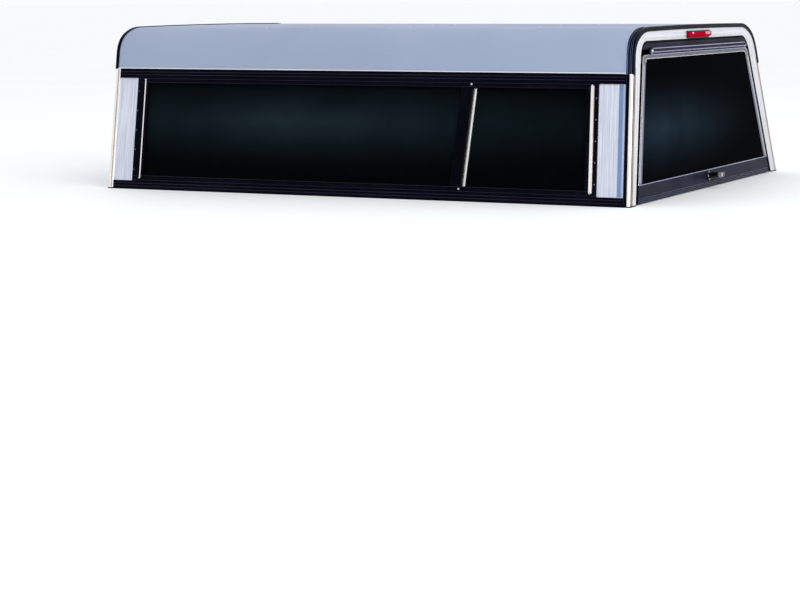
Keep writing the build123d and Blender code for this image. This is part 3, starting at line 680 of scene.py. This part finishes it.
def leaningPlates(strip, half, lean, proud):
    # a plate on each side of the rear, along an edge that leans inward
    middle = (strip["low"] + strip["high"]) / 2
    slope = atan(lean)
    size = (strip["width"], (strip["high"] - strip["low"]) / cos(slope), strip["thick"])
    plates = []
    for side in (-1, 1):
        plate = addBar(size, strip["edge"])
        x = side * (half - lean * middle - strip["inward"])
        put(plate, onRearPlane(x, middle, proud, side * degrees(slope)))
        plates.append(plate)
    return plates


# rear frame and roof trim: radii of the beads that paint highlights and reflections on their edges, how
# far beads sink, where their edges lie, and how far the faces beside them turn rearward or outward
rearLines = {"outer": 0.0013, "foot": 0.0020, "slope": 0.0010, "trim": 0.0018, "lip": 0.0017,
             "rib": 0.0008, "trimSink": 0.0022, "ribSink": 0.0009, "trimLip": 0.026,
             "lipPlace": 0.0205, "ribPlaces": (0.0055, 0.0115), "near": 0.0004,
             "railTop": 0.438, "footOver": 0.04, "footFrom": 0.008, "centreZ": 0.2,
             "rearward": 0.9, "outward": 0.1}

# doorway: its size, how wide its slope and its rim are, and which faces its rubber covers
doorway = {"half": 0.794, "lean": 0.350, "top": 0.539, "slope": 0.018, "slopeRoom": 0.0045,
           "rim": 0.037,
           "lining": {"from": 0.0046, "to": 0.0225, "thick": 0.0006, "slopeLow": 0.85,
                      "slopeHigh": 0.96, "wallTilt": 0.2, "wallFrom": 0.006, "footFrom": 0.01,
                      "stopFacing": 0.98, "stopFrom": 0.015}}

# tan strips of painted reflection between the corner beads and the white jambs
jambStrip = {"low": 0.005, "high": 0.436, "inward": 0.0112, "width": 0.0058, "thick": 0.0010,
             "edge": 0.0005}


def insideWay(point, grow):
    half = doorway["half"] + grow - doorway["lean"] * point.z
    return abs(point.x) < half and point.z < doorway["top"] + grow


def lineWay(values):
    # rubber on the doorway's walls, its stop and the inner part of its slope
    outward = rearOutward()
    sheet = nodeCopy("rear_frame", "FACE")
    net = bmesh.from_edit_mesh(sheet.data)
    for face in net.faces:
        middle = face.calc_center_median()
        deep = back(middle)
        facing = face.normal.dot(outward)
        inward = face.normal.x * middle.x + face.normal.z * (middle.z - rearLines["centreZ"]) < 0
        slope = values["slopeLow"] < facing < values["slopeHigh"]
        upright = abs(facing) < values["wallTilt"] and values["wallFrom"] < deep < values["to"]
        wall = upright and inward and middle.z > values["footFrom"]
        stop = facing > values["stopFacing"] and deep > values["stopFrom"]
        face.select_set(not (insideWay(middle, doorway["slope"]) and (slope or wall or stop)))
    bmesh.update_edit_mesh(sheet.data)
    bpy.ops.mesh.delete(type="FACE")
    bpy.ops.mesh.select_all(action="SELECT")
    start = Vector((0, shape["rearY"], 0)) - outward * values["from"]
    bpy.ops.mesh.bisect(plane_co=start, plane_no=outward, clear_outer=True)
    bpy.ops.object.mode_set(mode="OBJECT")
    body = sheet.modifiers.new("body", "SOLIDIFY")
    body.thickness = values["thick"]
    body.offset = 1
    bpy.ops.object.modifier_apply(modifier="body")
    bpy.ops.object.shade_smooth_by_angle(angle=radians(30))
    print("doorway lining:", len(sheet.data.polygons), "faces")
    settle(sheet, "doorway_lining", Matrix.Identity(4), "sealRubber")


def dressRear(values):
    near = values["near"]

    def onFace(edge):
        rearward = any(face.normal.y < -values["rearward"] for face in edge.link_faces)
        return liesBack(edge, 0, near) and rearward and edgeMiddle(edge).z > values["footFrom"]

    def onRim(edge):
        return onFace(edge) and not insideWay(edgeMiddle(edge), doorway["rim"])

    def outerEdge(edge):
        return onRim(edge) and edgeMiddle(edge).z > values["railTop"]

    def footEdge(edge):
        return onRim(edge) and edgeMiddle(edge).z <= values["railTop"] + values["footOver"]

    def slopeEdge(edge):
        return onFace(edge) and insideWay(edgeMiddle(edge), doorway["slope"] + doorway["slopeRoom"])

    def outside(edge):
        # on the trim's outer skin, and not on its underside
        for face in edge.link_faces:
            spot = face.calc_center_median()
            rise = spot.z - values["centreZ"]
            if face.normal.x * spot.x + face.normal.z * rise > values["outward"]:
                return True
        return False

    def lipEdge(edge):
        return outside(edge) and liesBack(edge, values["trimLip"], near)

    def bandEdge(edge):
        return outside(edge) and liesBack(edge, values["lipPlace"], near)

    def ribEdge(edge):
        return outside(edge) and any(liesBack(edge, place, near) for place in values["ribPlaces"])

    # painted light on the frame's edges: a bright highlight on the outer edge above the rail top and on
    # the slope, and a tan reflection on the outer edge towards the foot
    for keep, radius, name, finish in (
            (outerEdge, "outer", "rear_frame_outer_highlight", "brightBead"),
            (footEdge, "foot", "rear_frame_foot_reflection", "tanReflection"),
            (slopeEdge, "slope", "rear_frame_inner_highlight", "brightBead")):
        edgeBead("rear_frame", keep, values[radius], name, finish)
    # painted highlight lines along the roof trim's lip and ribs
    for keep, radius, name, finish, sink in (
            (lipEdge, "trim", "rear_trim_edge_highlight", "paleBlueHighlight", "trimSink"),
            (bandEdge, "lip", "rear_trim_lip_highlight", "trimHighlight", "trimSink"),
            (ribEdge, "rib", "rear_trim_rib_highlights", "trimHighlight", "ribSink")):
        sunk = Matrix.Translation((0, 0, -values[sink]))
        edgeBead("rear_roof_trim", keep, values[radius], name, finish, place=sunk)
    # tan strips of painted reflection beside the jambs
    plates = leaningPlates(jambStrip, shape["halfWidth"], shape["lean"], 0.0)
    joined(plates, "rear_jamb_reflection_strips", "tanReflection")
    lineWay(doorway["lining"])


dressRear(rearLines)

# door: a painted highlight line under the glass, painted highlight lines in the bottom rail's grooves,
# stile plates, painted highlight beads along the edges of its face, and a black rubber strip under the
# hinge that paints its shadow
doorParts = {"face": -0.004, "half": 0.7745, "lean": 0.350, "railTop": 0.065, "near": 0.0005,
             "glassLine": {"z": 0.0652, "wide": 0.0030, "half": 0.7495, "thick": 0.0012,
                           "edge": 0.0005},
             "ribs": {"heights": (0.0080, 0.0140, 0.0200), "wide": 0.0013, "thick": 0.0012,
                      "short": 0.004, "floor": -0.0056, "edge": 0.0004},
             "stile": {"low": 0.072, "high": 0.468, "inward": 0.0110, "width": 0.0120,
                       "thick": 0.0010, "edge": 0.0004},
             "beads": {"stile": 0.0010, "glass": 0.0008, "top": 0.0013, "over": 0.004,
                       "stileIn": 0.012, "glassIn": 0.024, "glassTop": 0.460, "topFrom": 0.492,
                       "topTo": 0.4935},
             # a black strip under the hinge that paints its shadow on the door's top rail
             "underHinge": {"z": 0.5032, "wide": 0.0040, "half": 0.5330, "y": -0.98853,
                            "thick": 0.0010, "edge": 0.0004}}


def addCrossLine(line, name, finish, body):
    # an upright strip across the rear, by its height and the face behind it
    bar = addBar((2 * line["half"], line["thick"], line["wide"]), line["edge"])
    place = Matrix.Translation((0, line["y"] - line["thick"] / 2, line["z"] - line["wide"] / 2))
    settle(bar, name, place, finish, body)


def dressDoor(values):
    line, ribs, beads = values["glassLine"], values["ribs"], values["beads"]
    # a painted highlight line under the glass
    bar = addBar((2 * line["half"], line["wide"], line["thick"]), line["edge"])
    place = onRearPlane(0, line["z"], values["face"])
    settle(bar, "door_glass_foot_highlight", place, "lavenderAnodised", "rear_door")
    bars = []
    # painted highlight lines in the bottom rail's grooves
    for z in ribs["heights"]:
        half = values["half"] - values["lean"] * z - ribs["short"]
        bar = addBar((2 * half, ribs["wide"], ribs["thick"]), ribs["edge"])
        put(bar, onRearPlane(0, z, ribs["floor"]))
        bars.append(bar)
    joined(bars, "door_rail_highlights", "trimHighlight", "rear_door")
    plates = leaningPlates(values["stile"], values["half"], values["lean"], values["face"])
    joined(plates, "door_stile_plates", "stileSilver", "rear_door")

    def onDoorFace(edge):
        high = min(v.co.z for v in edge.verts) > values["railTop"] - values["near"]
        return high and liesBack(edge, -values["face"], values["near"])

    def edgeKind(edge):
        # how far inside the door's leaning outer edge the middle lies, and how high
        spot = edgeMiddle(edge)
        return values["half"] - values["lean"] * spot.z - abs(spot.x), spot.z

    def stileEdge(edge):
        inward, z = edgeKind(edge)
        outer = inward < beads["stileIn"] or z > beads["topFrom"]
        return onDoorFace(edge) and outer and z > values["railTop"] + beads["over"]

    def glassEdge(edge):
        inward, z = edgeKind(edge)
        upright = values["railTop"] + beads["over"] < z < beads["glassTop"]
        return onDoorFace(edge) and upright and inward > beads["glassIn"]

    def topEdge(edge):
        inward, z = edgeKind(edge)
        high = beads["glassTop"] <= z < beads["topTo"]
        return onDoorFace(edge) and high and inward > beads["glassIn"]

    # painted highlights along the edges of the door's face
    for keep, radius, name, finish in (
            (stileEdge, "stile", "door_stile_highlight", "brightBead"),
            (glassEdge, "glass", "door_glass_side_highlight", "lavenderAnodised"),
            (topEdge, "top", "door_glass_top_highlight", "brightBead")):
        edgeBead("door_frame", keep, beads[radius], name, finish, "rear_door")
    # painted shadow under the hinge
    addCrossLine(values["underHinge"], "door_hinge_shadow_strip", "sealRubber", "rear_door")


dressDoor(doorParts)

# hinge: polished domes over the ends of the pin, and a painted highlight line on the header's shelf
hingeCaps = {"radius": 0.0062, "length": 0.0075, "half": 0.5390, "z": 0.512045, "proud": 0.008,
             "gap": 0.0012, "rounding": 0.7}
shelfLine = {"z": 0.5210, "wide": 0.0034, "half": 0.5340, "y": -0.98853, "thick": 0.0008,
             "edge": 0.0003}


def capHinge(values):
    caps = []
    y = shape["rearY"] - values["proud"] + shape["rake"] * values["z"]
    for side in (-1, 1):
        bpy.ops.mesh.primitive_cylinder_add(vertices=32, radius=values["radius"],
                                            depth=values["length"],
                                            rotation=(0, radians(90 * side), 0))
        cap = bpy.context.object
        bpy.ops.object.transform_apply()
        roundEnd(cap, Vector((side, 0, 0)), values["radius"] * values["rounding"], 5)
        bpy.ops.object.shade_smooth_by_angle(angle=radians(45))
        x = side * (values["half"] + values["gap"] + values["length"] / 2)
        put(cap, Matrix.Translation((x, y, values["z"])))
        caps.append(cap)
    joined(caps, "hinge_end_caps", "keySteel")


capHinge(hingeCaps)
# a painted highlight on the header shelf's edge
addCrossLine(shelfLine, "hinge_shelf_highlight", "lavenderAnodised", "canopy")

# brake lamp: glossy bezel, raised prisms across the lens, and two painted highlights on the lens: a
# pale pad and a white gleam
lampParts = {"bezel": 0.0010, "proud": 0.004, "near": 0.0005, "face": 0.0118,
             "prisms": {"low": 0.5525, "high": 0.5695, "start": -0.116, "pitch": 0.0115,
                        "count": 15, "width": 0.0050, "thick": 0.0010, "edge": 0.00095},
             "pad": {"x": 0.0830, "z": 0.5640, "width": 0.0560, "high": 0.0095, "thick": 0.0012},
             "gleam": {"x": -0.0905, "z": 0.5655, "width": 0.0140, "high": 0.0050,
                       "thick": 0.0014},
             "padSoftness": 0.48}


def dressLamp(values):
    def rimEdge(edge):
        return liesBack(edge, -values["proud"], values["near"])

    edgeBead("brake_lamp_housing", rimEdge, values["bezel"], "brake_lamp_bezel", "handleBlack")
    row = values["prisms"]
    middle = (row["low"] + row["high"]) / 2
    prisms = []
    for number in range(row["count"]):
        prism = addBar((row["width"], row["high"] - row["low"], row["thick"]), row["edge"])
        put(prism, onRearPlane(row["start"] + number * row["pitch"], middle, values["face"]))
        prisms.append(prism)
    joined(prisms, "brake_lamp_prisms", "redLens")
    # painted highlights: a pale pad on the lens's right part and a white gleam on its left
    for part, name, finish in (("pad", "brake_lamp_pale_highlight", "lensPale"),
                               ("gleam", "brake_lamp_gleam", "whiteFrame")):
        spot = values[part]
        edge = spot["thick"] * values["padSoftness"]
        plate = addBar((spot["width"], spot["high"], spot["thick"]), edge, 4)
        settle(plate, name, onRearPlane(spot["x"], spot["z"], values["face"]), finish)


dressLamp(lampParts)

# foam plugs that close the corners between the front rail and the side rails
cornerPlugs = {"x": 0.8230, "width": 0.0480, "low": 0.0030, "high": 0.0292, "front": 0.0030,
               "deep": 0.0180, "edge": 0.0025}


def plugCorners(values):
    middle = (values["low"] + values["high"]) / 2
    size = (values["width"], values["high"] - values["low"], values["deep"])
    plug = addBar(size, values["edge"], 4)
    place = onFrontPlane(-values["x"], middle, -values["front"] - values["deep"])
    settle(plug, "left_front_corner_plug", place, "sealRubber")
    mirrored(plug, "right_front_corner_plug", "sealRubber")


plugCorners(cornerPlugs)

# handle: two screws that hold its plate to the door's rail
plateScrews = {"z": 0.044, "reach": 0.0140, "proud": 0.0013, "turn": 40}


def screwPlate(values):
    heads = []
    for side in (-1, 1):
        x, turn = side * values["reach"], side * values["turn"]
        heads.append(copied(screw, onRearPlane(x, values["z"], values["proud"], turn)))
    joined(heads, "handle_plate_screws", "keySteel", "rear_door")


screwPlate(plateScrews)

# front window: a fine bead round both edges of its frame, coloured as a painted highlight
frontLine = {"radius": 0.0010, "proud": 0.008, "near": 0.0006}


def dressFront(values):
    def rimEdge(edge):
        ahead = [v.co.y - shape["rake"] * v.co.z - shape["frontY"] for v in edge.verts]
        return all(abs(place - values["proud"]) < values["near"] for place in ahead)

    edgeBead("front_window_frame", rimEdge, values["radius"], "front_window_highlights", "railHighlight")


dressFront(frontLine)
print("both ends dressed")

# rivets through the roof skin into the bows
roofRivets = {"radius": 0.0034, "height": 0.0012, "bows": (-0.5145, 0.0, 0.5145),
              "across": (-0.56, -0.40, -0.20, 0.0, 0.20, 0.40, 0.56), "above": 1.0}


def rivetRoof(values):
    skin = nodes["roof_skin"]
    rivet = modelRivet(values["radius"], values["height"])
    domes = []
    for y in values["bows"]:
        for x in values["across"]:
            above = Vector((x, y, values["above"]))
            found, spot, normal = skin.ray_cast(above, Vector((0, 0, -1)))[:3]
            if found:
                turn = normal.to_track_quat("Z", "Y").to_matrix().to_4x4()
                domes.append(copied(rivet, Matrix.Translation(spot) @ turn))
    bpy.data.objects.remove(rivet, do_unlink=True)
    joined(domes, "roof_rivets", "keySteel")
    print("roof riveted:", len(domes))


rivetRoof(roofRivets)

bpy.data.objects.remove(screw, do_unlink=True)
